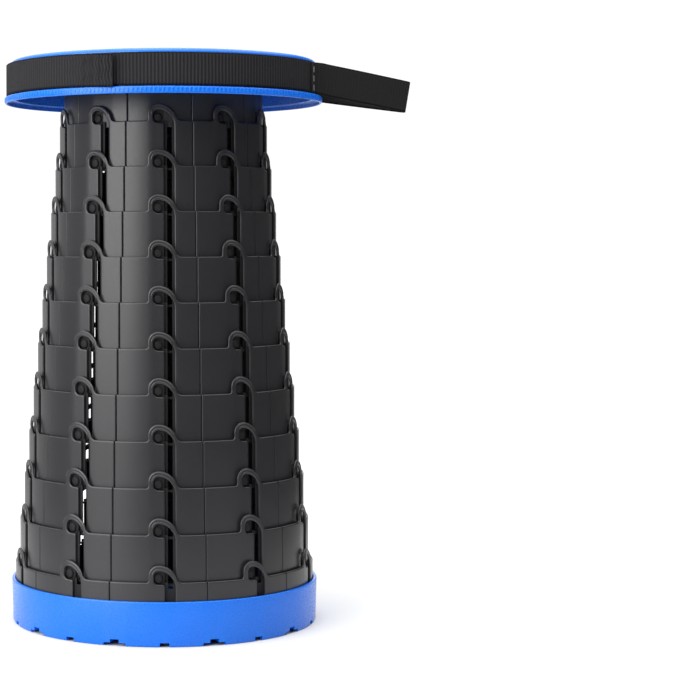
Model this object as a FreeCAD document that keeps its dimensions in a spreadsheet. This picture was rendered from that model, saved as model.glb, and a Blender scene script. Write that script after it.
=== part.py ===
import FreeCAD, Part
import math
import os

import Sketcher
from FreeCAD import Vector

# A telescopic camping stool: twelve nested rings stand on one another by ten bayonet hooks each, between a
# base tray and a seat lid that carries a webbing strap. Millimetres, Z up, the front with a hook column towards
# -Y. The origin is the centre of the tray's underside.

SIZES = [
    ("total_height", 450.0, "floor to the crown of the lid"),
    ("ring_count", 12, "nested rings, the smallest fixed to the lid"),
    ("hook_count", 10, "hook columns round each ring"),
    ("ring_rise", 34.8, "how far each ring stands above the next"),
    ("ring_overlap", 5.4, "how deep a raised ring still sits in the next"),
    ("ring_radius", 119.7, "outer radius of the lowest, largest ring"),
    ("ring_step", 3.6, "change of radius from ring to ring"),
    ("ring_wall", 1.6, "wall of a ring"),
    ("ring_seat", 8.1, "height of the lower edges when collapsed"),
    ("hook_rise", 12.0, "crown of a hook above its ring's top edge"),
    ("hook_apex", 3.9, "crown and pin, to the left of the column's centre line"),
    ("hook_right", 15.2, "outer radius of the hook's long right shoulder"),
    ("hook_side_band", 3.3, "hook band beside the pin"),
    ("hook_top_band", 3.8, "hook band over the pin"),
    ("hook_depth", 2.6, "radial thickness of a hook"),
    ("hook_root", 1.3, "straight foot of a hook below its right shoulder"),
    ("column_width", 24.0, "flat that carries a hook, a slot and a pin"),
    ("seam_angle", 15.8, "panel seam to the right of a column, degrees"),
    ("pin_diameter", 7.0, "locking pin"),
    ("pin_lift", 1.6, "pin centre above the top edge of the ring that holds it"),
    ("pin_clearance", 0.3, "pin end to the wall that it runs behind"),
    ("pocket_clearance", 0.2, "pin to the pocket round it"),
    ("slot_left", 0.3, "left side of the guide slot from the column's centre line"),
    ("slot_width", 8.3, "outer width of the guide slot"),
    ("slot_hoop", 3.0, "solid hoop under the slot"),
    ("seat_slope", 2.0, "fall of the pocket's lip towards the slot"),
    ("base_height", 33.7, "tray wall"),
    ("base_radius", 122.8, "tray's outer radius at its top"),
    ("base_taper", 1.0, "how much narrower the tray is at its foot"),
    ("base_foot", 3.4, "width of the tray's foot"),
    ("base_floor", 2.6, "thickness of the tray's floor"),
    ("base_chamfer", 1.2, "bevel round the foot"),
    ("base_hub", 22.0, "radius of the hub under the floor"),
    ("rib_width", 2.0, "radial ribs under the tray and the lid"),
    ("notch_width", 8.4, "narrow notches in the foot"),
    ("notch_height", 2.5, "height of the narrow notches"),
    ("arch_width", 25.0, "wide notches in the foot"),
    ("arch_height", 1.0, "height of the wide notches"),
    ("arch_core_height", 3.0, "height of the middle of the wide notches"),
    ("seat_clearance", 0.3, "parts that seat in one another"),
    ("stack_clearance", 0.5, "collapsed rings above the flange of the lowest one"),
    ("flange_width", 12.0, "inward flange of the first and last ring"),
    ("flange_thickness", 2.5, "inward flange of the first and last ring"),
    ("screw_count", 5, "screws in each flange"),
    ("screw_diameter", 3.0, "screw shank"),
    ("screw_length", 7.0, "screw under its head"),
    ("screw_head", 6.4, "diameter of the screw head"),
    ("screw_head_height", 1.9, "height of the screw head"),
    ("screw_clearance", 0.15, "shank to its hole"),
    ("boss_diameter", 8.4, "screw bosses under the lid"),
    ("boss_length", 6.0, "screw bosses under the lid"),
    ("lid_plate", 2.6, "thickness of the lid's top"),
    ("lid_crown", 1.5, "rise of the lid's top towards its centre"),
    ("crown_flat", 60.0, "radius of the flat in the middle of the lid's top"),
    ("lid_clearance", 0.5, "lid's skirt round the lowest ring when collapsed"),
    ("lid_wall", 2.2, "skirt of the lid behind the strap"),
    ("lid_shoulder", 3.4, "rounded edge between the lid's top and its strap channel"),
    ("lid_lip", 0.7, "edge of the lid's top in front of the strap channel"),
    ("rim_height", 6.0, "rim below the strap channel"),
    ("rim_reach", 5.3, "how far the rim stands out from the skirt"),
    ("rim_wall", 1.6, "wall of the rim"),
    ("lid_rib_height", 2.0, "radial ribs under the lid"),
    ("strap_width", 25.0, "webbing"),
    ("strap_thickness", 1.4, "webbing"),
    ("strap_clearance", 0.3, "webbing to what it lies on"),
    ("tail_angle", 253.0, "degrees of strap that the doubled tail covers, from the loop round the back"),
    ("loop_reach", 71.0, "carry loop beyond the strap"),
    ("loop_half_angle", 17.0, "where the loop's two plies leave the strap"),
    ("loop_fold", 5.0, "inner radius of the loop's fold"),
    ("loop_droop", 8.0, "degrees that the loop hangs down"),
    ("slider_width", 28.0, "strap slider along the strap"),
    ("slider_height", 27.6, "strap slider across the strap"),
    ("slider_thickness", 3.4, "strap slider"),
    ("slider_bar", 4.2, "bars of the strap slider"),
    ("slider_round", 9.0, "rounding of the slider's far end"),
    ("slider_angle", 41.0, "place of the strap slider, degrees round from the loop"),
]


class Size:
    """A number together with the sheet expression that gives it."""

    def __init__(self, number, text):
        self.number = number
        self.text = text

    def __add__(self, other):
        other = as_size(other)
        return Size(self.number + other.number, f"({self.text} + {other.text})")

    def __sub__(self, other):
        other = as_size(other)
        return Size(self.number - other.number, f"({self.text} - {other.text})")

    def __mul__(self, other):
        other = as_size(other)
        return Size(self.number * other.number, f"({self.text} * {other.text})")

    def __truediv__(self, other):
        other = as_size(other)
        return Size(self.number / other.number, f"({self.text} / {other.text})")

    def __neg__(self):
        return Size(-self.number, f"(0 - {self.text})")


def as_size(item):
    return item if isinstance(item, Size) else Size(float(item), str(float(item)))


def square_root(item):
    return Size(math.sqrt(item.number), f"sqrt({item.text})")


def sine(angle):
    return Size(math.sin(math.radians(angle.number)), f"sin({angle.text} * 1 deg)")


def cosine(angle):
    return Size(math.cos(math.radians(angle.number)), f"cos({angle.text} * 1 deg)")


def fill_sheet(doc):
    sheet = doc.addObject("Spreadsheet::Sheet", "Sizes")
    for row, (alias, number, note) in enumerate(SIZES, start=1):
        sheet.set(f"A{row}", note)
        sheet.set(f"B{row}", str(number))
        sheet.setAlias(f"B{row}", alias)
    doc.recompute()
    return {alias: Size(float(sheet.get(alias)), f"Sizes.{alias}") for alias, _, _ in SIZES}


doc = FreeCAD.newDocument("camping_stool")
size = fill_sheet(doc)
zero = as_size(0)


# Sketches and features

def origin_feature(body, role):
    return next(item for item in body.Origin.OriginFeatures if item.Role == role)


def new_body(label):
    body = doc.addObject("PartDesign::Body", label)
    body.Label = label
    return body


def new_sketch(body, name, role, offset=zero):
    sketch = body.newObject("Sketcher::SketchObject", f"{body.Name}_{name}")
    sketch.AttachmentSupport = [(origin_feature(body, role), "")]
    sketch.MapMode = "FlatFace"
    sketch.setExpression("AttachmentOffset.Base.z", offset.text)
    return sketch


def hold(sketch, length, *constraint):
    index = sketch.addConstraint(Sketcher.Constraint(*constraint, length.number))
    sketch.setExpression(f"Constraints[{index}]", length.text)


def place_point(sketch, edge, point, x, y):
    hold(sketch, x, "DistanceX", -1, 1, edge, point)
    hold(sketch, y, "DistanceY", -1, 1, edge, point)


def corner(x, y):
    return (as_size(x), as_size(y), None, 0)


def quarter(x, y, radius, start):
    """A quarter circle about (x, y), counterclockwise from the start angle in degrees."""
    return (as_size(x), as_size(y), as_size(radius), start)


def arc_end(item, degrees):
    x, y, radius, _ = item
    angle = math.radians(degrees)
    return Vector(x.number + radius.number * math.cos(angle), y.number + radius.number * math.sin(angle), 0)


def draw_outline(sketch, items):
    """A closed counterclockwise outline of corners and quarter circles, joined by straight lines."""
    ends = []
    for item in items:
        x, y, radius, start = item
        if radius is None:
            point = Vector(x.number, y.number, 0)
            ends.append((point, point))
        else:
            ends.append((arc_end(item, start), arc_end(item, start + 90)))
    arcs = {}
    for index, item in enumerate(items):
        x, y, radius, start = item
        if radius is None:
            continue
        circle = Part.Circle(Vector(x.number, y.number, 0), Vector(0, 0, 1), radius.number)
        arc = Part.ArcOfCircle(circle, math.radians(start), math.radians(start + 90))
        edge = sketch.addGeometry(arc, False)
        arcs[index] = edge
        place_point(sketch, edge, 3, x, y)
        hold(sketch, radius, "Radius", edge)
        level, upright = (1, 2) if start % 180 == 0 else (2, 1)
        sketch.addConstraint(Sketcher.Constraint("Horizontal", edge, level, edge, 3))
        sketch.addConstraint(Sketcher.Constraint("Vertical", edge, upright, edge, 3))
    for index, item in enumerate(items):
        following = (index + 1) % len(items)
        first, second = ends[index][1], ends[following][0]
        if index in arcs and following in arcs and first.distanceToPoint(second) < 1e-6:
            continue
        line = sketch.addGeometry(Part.LineSegment(first, second), False)
        if index in arcs:
            sketch.addConstraint(Sketcher.Constraint("Coincident", arcs[index], 2, line, 1))
        else:
            place_point(sketch, line, 1, item[0], item[1])
        if following in arcs:
            sketch.addConstraint(Sketcher.Constraint("Coincident", line, 2, arcs[following], 1))
        else:
            place_point(sketch, line, 2, items[following][0], items[following][1])


def draw_box(sketch, left, right, low, high):
    draw_outline(sketch, [corner(left, low), corner(right, low), corner(right, high), corner(left, high)])


def bend(x, y, radius, start, steps, sweep=90):
    """Corners along an arc about (x, y), counterclockwise from the start angle in degrees."""
    angles = [math.radians(start + sweep * step / steps) for step in range(steps + 1)]
    return [corner(x + radius * math.cos(angle), y + radius * math.sin(angle)) for angle in angles]


def draw_facets(sketch, x, y, diameter, sides=8):
    """A small round outline with a few flats, for what repeats many times."""
    draw_outline(sketch, bend(x, y, diameter / 2, 0, sides, 360)[:-1])


def add_feature(body, kind, name, sketch, length=None):
    feature = body.newObject(f"PartDesign::{kind}", f"{body.Name}_{name}")
    feature.Profile = sketch
    if length is not None:
        feature.setExpression("Length", length.text)
    sketch.Visibility = False
    return feature


def turn(body, kind, name, sketch):
    feature = add_feature(body, kind, name, sketch)
    feature.ReferenceAxis = (sketch, ["V_Axis"])
    feature.Angle = 360
    return feature


def repeat(body, name, features, count):
    pattern = body.newObject("PartDesign::PolarPattern", f"{body.Name}_{name}")
    pattern.Originals = features
    pattern.Axis = (origin_feature(body, "Z_Axis"), [""])
    pattern.Angle = 360
    pattern.setExpression("Occurrences", count.text)
    body.Tip = pattern
    return pattern


def repeat_whole(body, name, count):
    """Repeats everything in the body so far, which has to be computed before."""
    doc.recompute()
    pattern = repeat(body, name, [], count)
    pattern.TransformMode = "Whole shape"


# Places that several pieces share

last_ring = size["ring_count"] - 1
lowest = int(last_ring.number)
half_column = size["column_width"] / 2
sector_angle = as_size(360) / size["hook_count"]
base_floor_top = size["ring_seat"] - size["stack_clearance"] - size["flange_thickness"]
floor_underside = base_floor_top - size["base_floor"]
strap_top = size["total_height"] - size["lid_crown"] - size["lid_shoulder"]
strap_bottom = strap_top - size["strap_width"] - size["strap_clearance"] * 2
rim_bottom = strap_bottom - size["rim_height"]
lid_underside = size["total_height"] - size["lid_crown"] - size["lid_plate"]
skirt_inside = size["ring_radius"] + size["lid_clearance"]
skirt_outside = skirt_inside + size["lid_wall"]
strap_inside = skirt_outside + size["strap_clearance"]
tail_outside = strap_inside + size["strap_thickness"] * 2
pocket_radius = size["pin_diameter"] / 2 + size["pocket_clearance"]
hole_diameter = size["screw_diameter"] + size["screw_clearance"] * 2


def ring_outside(number):
    return size["ring_radius"] - size["ring_step"] * (last_ring - number)


def ring_bottom(number):
    return size["ring_seat"] + size["ring_rise"] * (last_ring - number)


def ring_top(number):
    return ring_bottom(number) + size["ring_rise"] + size["ring_overlap"]


def column_face(number):
    """Distance from the axis to the flat that carries a ring's hook."""
    outside = ring_outside(number)
    return square_root(outside * outside - half_column * half_column)


def screw_radius(number):
    return ring_outside(number) - size["ring_wall"] - size["flange_width"] / 2


# Rings

def draw_panel(sketch, number):
    """One tenth of a ring's wall from seam to seam: a flat column between two flat flanks."""
    outside = ring_outside(number)
    right_seam = size["seam_angle"]
    left_seam = right_seam - sector_angle
    outlines = []
    for depth in (zero, size["ring_wall"]):
        radius = outside - depth
        face = column_face(number) - depth
        half = square_root(radius * radius - face * face)
        outlines.append([
            corner(radius * sine(left_seam), -(radius * cosine(left_seam))),
            corner(-half, -face),
            corner(half, -face),
            corner(radius * sine(right_seam), -(radius * cosine(right_seam))),
        ])
    outer, inner = outlines
    draw_outline(sketch, outer + inner[::-1])


def add_hook(body, number):
    """The hook on a column's top edge, its pin pocket and the guide slot that runs down from it."""
    face = column_face(number)
    top = ring_top(number)
    apex = -size["hook_apex"]
    hook_left = pocket_radius + size["hook_side_band"]
    shoulder = top + size["hook_rise"] - size["hook_right"]
    foot = shoulder - size["hook_root"]
    back = face - size["hook_depth"]

    sketch = new_sketch(body, "hook_outline", "XZ_Plane", back)
    outline = [corner(apex - hook_left, foot), corner(apex + size["hook_right"], foot)]
    outline += bend(apex, shoulder, size["hook_right"], 0, 3)
    outline += bend(apex, top + size["hook_rise"] - hook_left, hook_left, 90, 2)[1:]
    draw_outline(sketch, outline)
    add_feature(body, "Pad", "hook", sketch, size["hook_depth"])

    margin = size["pin_clearance"]
    sketch = new_sketch(body, "relief_outline", "XZ_Plane", face - size["ring_wall"])
    draw_box(sketch, apex - hook_left - margin, apex + size["hook_right"] + margin, foot - margin, top)
    add_feature(body, "Pocket", "relief", sketch, size["hook_depth"])

    slot_right = size["slot_left"] + size["slot_width"]
    slot_foot = ring_bottom(number) + size["slot_hoop"]
    window_top = top + size["hook_rise"] - size["hook_top_band"]
    window_right = size["hook_apex"] + slot_right
    seat = top + size["pin_lift"] - pocket_radius
    sketch = new_sketch(body, "window_outline", "XZ_Plane", face)
    outline = [corner(size["slot_left"], slot_foot), corner(slot_right, slot_foot)]
    outline += bend(apex, window_top - window_right, window_right, 0, 3)
    outline += bend(apex, window_top - pocket_radius, pocket_radius, 90, 2)[1:]
    outline += [
        corner(apex - pocket_radius, seat),
        corner(apex, seat),
        corner(size["slot_left"], seat - size["seat_slope"]),
    ]
    draw_outline(sketch, outline)
    add_feature(body, "Pocket", "window", sketch, size["hook_depth"])


def add_pin(body, number):
    """The pin near a column's lower edge, which stands in the hook of the next ring."""
    root = column_face(number) - size["ring_wall"] / 2
    tip = column_face(number + 1) - size["ring_wall"] - size["pin_clearance"]
    height = ring_bottom(number) + size["ring_overlap"] + size["pin_lift"]
    sketch = new_sketch(body, "pin_outline", "XZ_Plane", root)
    draw_facets(sketch, -size["hook_apex"], height, size["pin_diameter"])
    add_feature(body, "Pad", "pin", sketch, tip - root)


def add_flange(body, number, low):
    """The inward flange by which the first and the last ring are screwed on."""
    inside = ring_outside(number) - size["ring_wall"]
    sketch = new_sketch(body, "flange_section", "XZ_Plane")
    draw_box(sketch, inside - size["flange_width"], inside + size["ring_wall"] / 5, low,
             low + size["flange_thickness"])
    turn(body, "Revolution", "flange", sketch)
    sketch = new_sketch(body, "hole_outline", "XY_Plane", low + size["flange_thickness"])
    draw_facets(sketch, zero, -screw_radius(number), hole_diameter)
    hole = add_feature(body, "Pocket", "hole", sketch, size["flange_thickness"])
    repeat(body, "holes", [hole], size["screw_count"])


def make_ring(number):
    body = new_body(f"ring_{number:02d}")
    bottom = base_floor_top if number == lowest else ring_bottom(number)
    top = lid_underside if number == 0 else ring_top(number)
    sketch = new_sketch(body, "panel_section", "XY_Plane", bottom)
    draw_panel(sketch, number)
    add_feature(body, "Pad", "panel", sketch, top - bottom)
    if number > 0:
        add_hook(body, number)
    if number < lowest:
        add_pin(body, number)
    repeat_whole(body, "panels", size["hook_count"])
    if number == 0:
        add_flange(body, number, lid_underside - size["boss_length"] - size["flange_thickness"])
    if number == lowest:
        add_flange(body, number, base_floor_top)
    return body


# Base tray

def make_base_tray():
    body = new_body("base_tray")
    foot_outside = size["base_radius"] - size["base_taper"]
    foot_inside = foot_outside - size["base_foot"]
    bore = size["ring_radius"] + size["seat_clearance"]
    sketch = new_sketch(body, "tray_section", "XZ_Plane")
    draw_outline(sketch, [
        corner(0, 0),
        corner(size["base_hub"], 0),
        corner(size["base_hub"], floor_underside),
        corner(foot_inside, floor_underside),
        corner(foot_inside, 0),
        corner(foot_outside - size["base_chamfer"], 0),
        corner(foot_outside, size["base_chamfer"]),
        corner(size["base_radius"], size["base_height"]),
        corner(bore, size["base_height"]),
        corner(bore, base_floor_top),
        corner(0, base_floor_top),
    ])
    turn(body, "Revolution", "tray", sketch)

    overlap = size["rib_width"] / 2
    sketch = new_sketch(body, "rib_outline", "XY_Plane")
    draw_box(sketch, size["base_hub"] - overlap, foot_inside + overlap,
             -size["rib_width"] / 2, size["rib_width"] / 2)
    rib = add_feature(body, "Pad", "rib", sketch, floor_underside)
    repeat(body, "ribs", [rib], size["hook_count"])

    front = size["base_radius"]
    depth = size["base_radius"] - foot_inside + size["rib_width"]
    sketch = new_sketch(body, "notch_outline", "XZ_Plane", front)
    draw_box(sketch, -size["notch_width"] / 2, size["notch_width"] / 2, zero, size["notch_height"])
    notch = add_feature(body, "Pocket", "notch", sketch, depth)
    sketch = new_sketch(body, "arch_outline", "YZ_Plane", front)
    half_arch = size["arch_width"] / 2
    half_core = size["notch_width"] / 2
    draw_outline(sketch, [
        corner(-half_arch, 0),
        corner(half_arch, 0),
        corner(half_arch, size["arch_height"]),
        corner(half_core, size["arch_height"]),
        corner(half_core, size["arch_core_height"]),
        corner(-half_core, size["arch_core_height"]),
        corner(-half_core, size["arch_height"]),
        corner(-half_arch, size["arch_height"]),
    ])
    arch = add_feature(body, "Pocket", "arch", sketch, depth)
    repeat(body, "notches", [notch, arch], size["hook_count"])

    sketch = new_sketch(body, "hole_outline", "XY_Plane", base_floor_top)
    draw_facets(sketch, zero, -screw_radius(lowest), hole_diameter)
    hole = add_feature(body, "Pocket", "hole", sketch, size["base_floor"])
    repeat(body, "holes", [hole], size["screw_count"])
    return body


# Seat lid

def make_seat_lid():
    body = new_body("seat_lid")
    edge = skirt_outside + size["lid_lip"]
    rim_outside = skirt_outside + size["rim_reach"]
    rim_inside = rim_outside - size["rim_wall"]
    rim_top = strap_bottom - size["rim_wall"]
    shoulder = size["lid_shoulder"]
    sketch = new_sketch(body, "lid_section", "XZ_Plane")
    outline = [
        corner(0, lid_underside),
        corner(skirt_inside, lid_underside),
        corner(skirt_inside, rim_top),
        corner(rim_inside, rim_top),
        corner(rim_inside, rim_bottom),
        corner(rim_outside, rim_bottom),
        corner(rim_outside, strap_bottom),
        corner(skirt_outside, strap_bottom),
        corner(skirt_outside, strap_top),
    ]
    outline += bend(edge - shoulder, strap_top, shoulder, 0, 3)
    outline += [corner(size["crown_flat"], size["total_height"]), corner(0, size["total_height"])]
    draw_outline(sketch, outline)
    turn(body, "Revolution", "lid", sketch)

    boss_end = lid_underside - size["boss_length"]
    sketch = new_sketch(body, "boss_outline", "XY_Plane", boss_end)
    draw_facets(sketch, zero, -screw_radius(0), size["boss_diameter"])
    draw_facets(sketch, zero, -screw_radius(0), hole_diameter)
    boss = add_feature(body, "Pad", "boss", sketch, size["boss_length"])
    repeat(body, "bosses", [boss], size["screw_count"])

    sketch = new_sketch(body, "rib_outline", "XY_Plane", lid_underside - size["lid_rib_height"])
    draw_box(sketch, ring_outside(1), skirt_inside + size["lid_wall"] / 2,
             -size["rib_width"] / 2, size["rib_width"] / 2)
    rib = add_feature(body, "Pad", "rib", sketch, size["lid_rib_height"])
    repeat(body, "ribs", [rib], size["hook_count"])
    return body


# Screws

def make_screws(label, number, seat, length):
    """A circle of screws that point upwards, their heads under the seat."""
    body = new_body(label)
    body.AllowCompound = True
    sketch = new_sketch(body, "head_outline", "XY_Plane", seat - size["screw_head_height"])
    draw_facets(sketch, zero, -screw_radius(number), size["screw_head"])
    add_feature(body, "Pad", "head", sketch, size["screw_head_height"])
    sketch = new_sketch(body, "shank_outline", "XY_Plane", seat)
    draw_facets(sketch, zero, -screw_radius(number), size["screw_diameter"])
    add_feature(body, "Pad", "shank", sketch, length)
    repeat_whole(body, "screws", size["screw_count"])
    return body


# Strap, carry loop and slider

def make_strap():
    body = new_body("strap")
    low = strap_bottom + size["strap_clearance"]
    high = low + size["strap_width"]
    middle = strap_inside + size["strap_thickness"]
    sketch = new_sketch(body, "band_section", "XZ_Plane")
    draw_box(sketch, strap_inside, middle, low, high)
    turn(body, "Revolution", "band", sketch)
    sketch = new_sketch(body, "tail_section", "XZ_Plane")
    draw_box(sketch, middle, tail_outside, low, high)
    tail = turn(body, "Revolution", "tail", sketch)
    tail.setExpression("Angle", size["tail_angle"].text)
    return body


def join(sketch, first, second):
    """A straight line between the ends of two edges, each given as edge and point."""
    line = sketch.addGeometry(Part.LineSegment(sketch.getPoint(*first), sketch.getPoint(*second)), False)
    sketch.addConstraint(Sketcher.Constraint("Coincident", *first, line, 1))
    sketch.addConstraint(Sketcher.Constraint("Coincident", *second, line, 2))


def draw_fold(sketch, root_x, root_y, fold_x, radius):
    """Two plies and the fold between them; returns the first ply, the fold and the last ply."""
    start, end = -math.pi / 2 + 0.4, math.pi / 2 - 0.4
    circle = Part.Circle(Vector(fold_x.number, 0, 0), Vector(0, 0, 1), radius.number)
    fold = sketch.addGeometry(Part.ArcOfCircle(circle, start, end), False)
    place_point(sketch, fold, 3, fold_x, zero)
    hold(sketch, radius, "Radius", fold)
    plies = []
    for side, point in ((-1, 1), (1, 2)):
        root = Vector(root_x.number, side * root_y.number, 0)
        ply = sketch.addGeometry(Part.LineSegment(root, sketch.getPoint(fold, point)), False)
        place_point(sketch, ply, 1, root_x, root_y * side)
        sketch.addConstraint(Sketcher.Constraint("Tangent", ply, 2, fold, point))
        plies.append(ply)
    return plies


def make_carry_loop():
    body = new_body("carry_loop")
    outside = tail_outside + size["strap_clearance"]
    half = size["strap_thickness"] / 2
    # The droop tips the root's lower corners inward, so the root stands out by as much.
    root_x = outside * cosine(size["loop_half_angle"]) + size["strap_width"] / 2 * sine(size["loop_droop"])
    root_y = outside * sine(size["loop_half_angle"])
    fold_x = outside + size["loop_reach"] - size["loop_fold"] - size["strap_thickness"]
    sketch = new_sketch(body, "loop_section", "XY_Plane", -size["strap_width"] / 2)
    outer = draw_fold(sketch, root_x, root_y + half, fold_x, size["loop_fold"] + size["strap_thickness"])
    inner = draw_fold(sketch, root_x, root_y - half, fold_x, size["loop_fold"])
    for first, second in zip(outer, inner):
        join(sketch, (first, 1), (second, 1))
    add_feature(body, "Pad", "loop", sketch, size["strap_width"])
    level = strap_bottom + size["strap_clearance"] + size["strap_width"] / 2
    hinge = Vector(root_x.number, 0, 0)
    droop = FreeCAD.Rotation(Vector(0, 1, 0), size["loop_droop"].number)
    body.Placement = FreeCAD.Placement(Vector(0, 0, level.number), droop, hinge)
    return body


def make_strap_slider():
    body = new_body("strap_slider")
    outside = tail_outside + size["strap_clearance"]
    half_width = size["slider_width"] / 2
    half_height = size["slider_height"] / 2
    level = strap_bottom + size["strap_clearance"] + half_height
    bar = size["slider_bar"]
    rounding = size["slider_round"]
    sketch = new_sketch(body, "slider_outline", "YZ_Plane", outside)
    draw_outline(sketch, [
        corner(-half_width, level - half_height),
        quarter(half_width - rounding, level - half_height + rounding, rounding, 270),
        quarter(half_width - rounding, level + half_height - rounding, rounding, 0),
        corner(-half_width, level + half_height),
    ])
    add_feature(body, "Pad", "plate", sketch, size["slider_thickness"])
    opening = half_height - bar / 2
    narrow = -half_width + bar
    wide = narrow + bar * 2
    sketch = new_sketch(body, "slot_outline", "YZ_Plane", outside + size["slider_thickness"])
    draw_box(sketch, narrow, narrow + bar, level - opening, level + opening)
    inner = rounding - bar
    draw_outline(sketch, [
        corner(wide, level - opening),
        quarter(half_width - bar - inner, level - opening + inner, inner, 270),
        quarter(half_width - bar - inner, level + opening - inner, inner, 0),
        corner(wide, level + opening),
    ])
    add_feature(body, "Pocket", "slots", sketch, size["slider_thickness"])
    body.Placement.Rotation = FreeCAD.Rotation(Vector(0, 0, 1), size["slider_angle"].number)
    return body


def make_all():
    pieces = [make_base_tray(), make_seat_lid()]
    pieces += [make_ring(number) for number in range(lowest + 1)]
    flange_underside = lid_underside - size["boss_length"] - size["flange_thickness"]
    pieces.append(make_screws("lid_screws", 0, flange_underside, size["screw_length"]))
    floor_and_flange = size["base_floor"] + size["flange_thickness"]
    pieces.append(make_screws("base_screws", lowest, floor_underside, floor_and_flange))
    pieces += [make_strap(), make_carry_loop(), make_strap_slider()]
    return pieces


def check(pieces):
    for item in doc.Objects:
        if "Invalid" in item.State or "Error" in item.State:
            raise RuntimeError(f"{item.Name} did not recompute: {item.State}")
    for piece in pieces:
        if piece.Shape.isNull() or not piece.Shape.isValid():
            raise RuntimeError(f"{piece.Label} has no valid shape")


pieces = make_all()
doc.recompute()
check(pieces)
os.makedirs("parts", exist_ok=True)
for piece in pieces:
    piece.Shape.exportStep(f"parts/{piece.Label}.step")
    print(piece.Label, len(piece.Shape.Solids), round(piece.Shape.Volume / 1000, 2), "cubic centimetres")
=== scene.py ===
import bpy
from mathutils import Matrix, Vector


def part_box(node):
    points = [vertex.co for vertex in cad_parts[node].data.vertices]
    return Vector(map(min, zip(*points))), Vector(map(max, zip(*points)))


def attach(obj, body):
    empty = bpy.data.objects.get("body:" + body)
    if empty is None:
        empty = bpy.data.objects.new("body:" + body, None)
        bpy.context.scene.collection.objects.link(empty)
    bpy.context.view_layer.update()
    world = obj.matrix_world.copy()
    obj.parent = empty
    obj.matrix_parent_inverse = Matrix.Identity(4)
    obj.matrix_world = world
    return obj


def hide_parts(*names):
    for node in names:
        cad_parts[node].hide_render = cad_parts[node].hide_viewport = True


bl_info = {
    "name": "Telescopic camping stool",
    "version": (1, 0, 0),
    "blender": (4, 5, 0),
    "location": "View3D > Sidebar > Stool",
    "description": "Dresses the stool's frame with its rings, lid, tray, webbing and small parts",
    "category": "Object",
}

import math

import bmesh
import bpy
from mathutils import Matrix, Vector
from mathutils.geometry import delaunay_2d_cdt

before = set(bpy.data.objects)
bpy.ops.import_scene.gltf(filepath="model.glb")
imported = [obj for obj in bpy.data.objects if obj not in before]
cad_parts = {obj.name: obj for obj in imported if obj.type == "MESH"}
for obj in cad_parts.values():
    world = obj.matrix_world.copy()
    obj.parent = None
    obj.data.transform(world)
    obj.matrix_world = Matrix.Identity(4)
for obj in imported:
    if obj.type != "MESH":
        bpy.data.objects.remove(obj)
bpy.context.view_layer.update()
MM = 0.001
# Spacing of the points on a plate, and the rounding of small edges, by which parts also overlap.
GRID, FINE = 2.5 * MM, 0.1 * MM
# A wave texture has one band for each of these units of its scaled length.
WAVE = 0.31416
# Thickness of the flanges that screw the first and last ring on, and length of the lid's bosses.
FLANGE, BOSS = 2.5 * MM, 6.0 * MM
# Screws in each flange, and how far inside the ring's wall they stand.
SCREWS, SCREW_INSET = 5, 6.0 * MM


def linear(code):
    """An sRGB hex colour as linear red, green, blue and alpha."""
    values = [int(code[place:place + 2], 16) / 255 for place in (1, 3, 5)]
    return [v / 12.92 if v <= 0.04045 else ((v + 0.055) / 1.055) ** 2.4 for v in values] + [1.0]


def length(name, description, millimetres):
    return bpy.props.FloatProperty(
        name=name, description=description, default=millimetres * MM, unit="LENGTH", precision=4)


def angle(name, description, degrees):
    return bpy.props.FloatProperty(
        name=name, description=description, default=math.radians(degrees), subtype="ANGLE")


def colour(name, description, code):
    return bpy.props.FloatVectorProperty(
        name=name, description=description, default=linear(code), size=4, min=0, max=1,
        subtype="COLOR")


class StoolRingSizes(bpy.types.PropertyGroup):
    columns: bpy.props.IntProperty(
        name="Columns", description="Hook columns round each ring", default=10)
    rings: bpy.props.IntProperty(name="Rings", description="Nested rings", default=12)
    radius: length("Radius", "Outer radius of the lowest ring", 119.7)
    step: length("Step", "Change of radius from ring to ring", 3.6)
    rise: length("Rise", "How far each ring stands above the next", 34.8)
    overlap: length("Overlap", "How deep a raised ring still sits in the next", 4.8)
    seat: length("Seat", "Height of the lowest moving edge when collapsed", 8.1)
    wall: length("Wall", "Wall of a ring", 1.6)
    edge: length("Edge", "Rounding of a ring's edges and seams", 0.8)
    gap: length("Gap", "Open width of a panel seam", 0.4)
    column: length("Column", "Half width of the flat that carries a hook", 10.0)
    seam: angle("Seam", "Panel seam to the right of a column", 15.8)
    hook_rise: length("Hook rise", "Crown of a hook above the top edge", 12.9)
    hook_apex: length("Hook apex", "Crown and pin, left of the column's centre line", 4.4)
    hook_shoulder: length("Hook shoulder", "Outer radius of the long right shoulder", 15.2)
    hook_side: length("Hook side", "Outer radius of the hook beside the pin", 7.6)
    slot_left: length("Slot left", "Left side of the guide slot from the centre line", 0.5)
    slot_width: length("Slot width", "Outer width of the guide slot", 7.9)
    left_rail: length("Left rail", "Width of the guide rail on the slot's left", 2.3)
    right_rail: length("Right rail", "Width of the guide rail on the slot's right", 1.7)
    rail_depth: length("Rail depth", "Guide rails behind the face", 2.2)
    pin: length("Pin", "Half the width of a locking pin", 3.2)
    pin_stretch: length("Pin stretch", "How much taller than wide a locking pin is", 0.6)
    pin_lift: length("Pin lift", "Pin above the top edge of the ring that holds it", 2.2)


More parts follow.
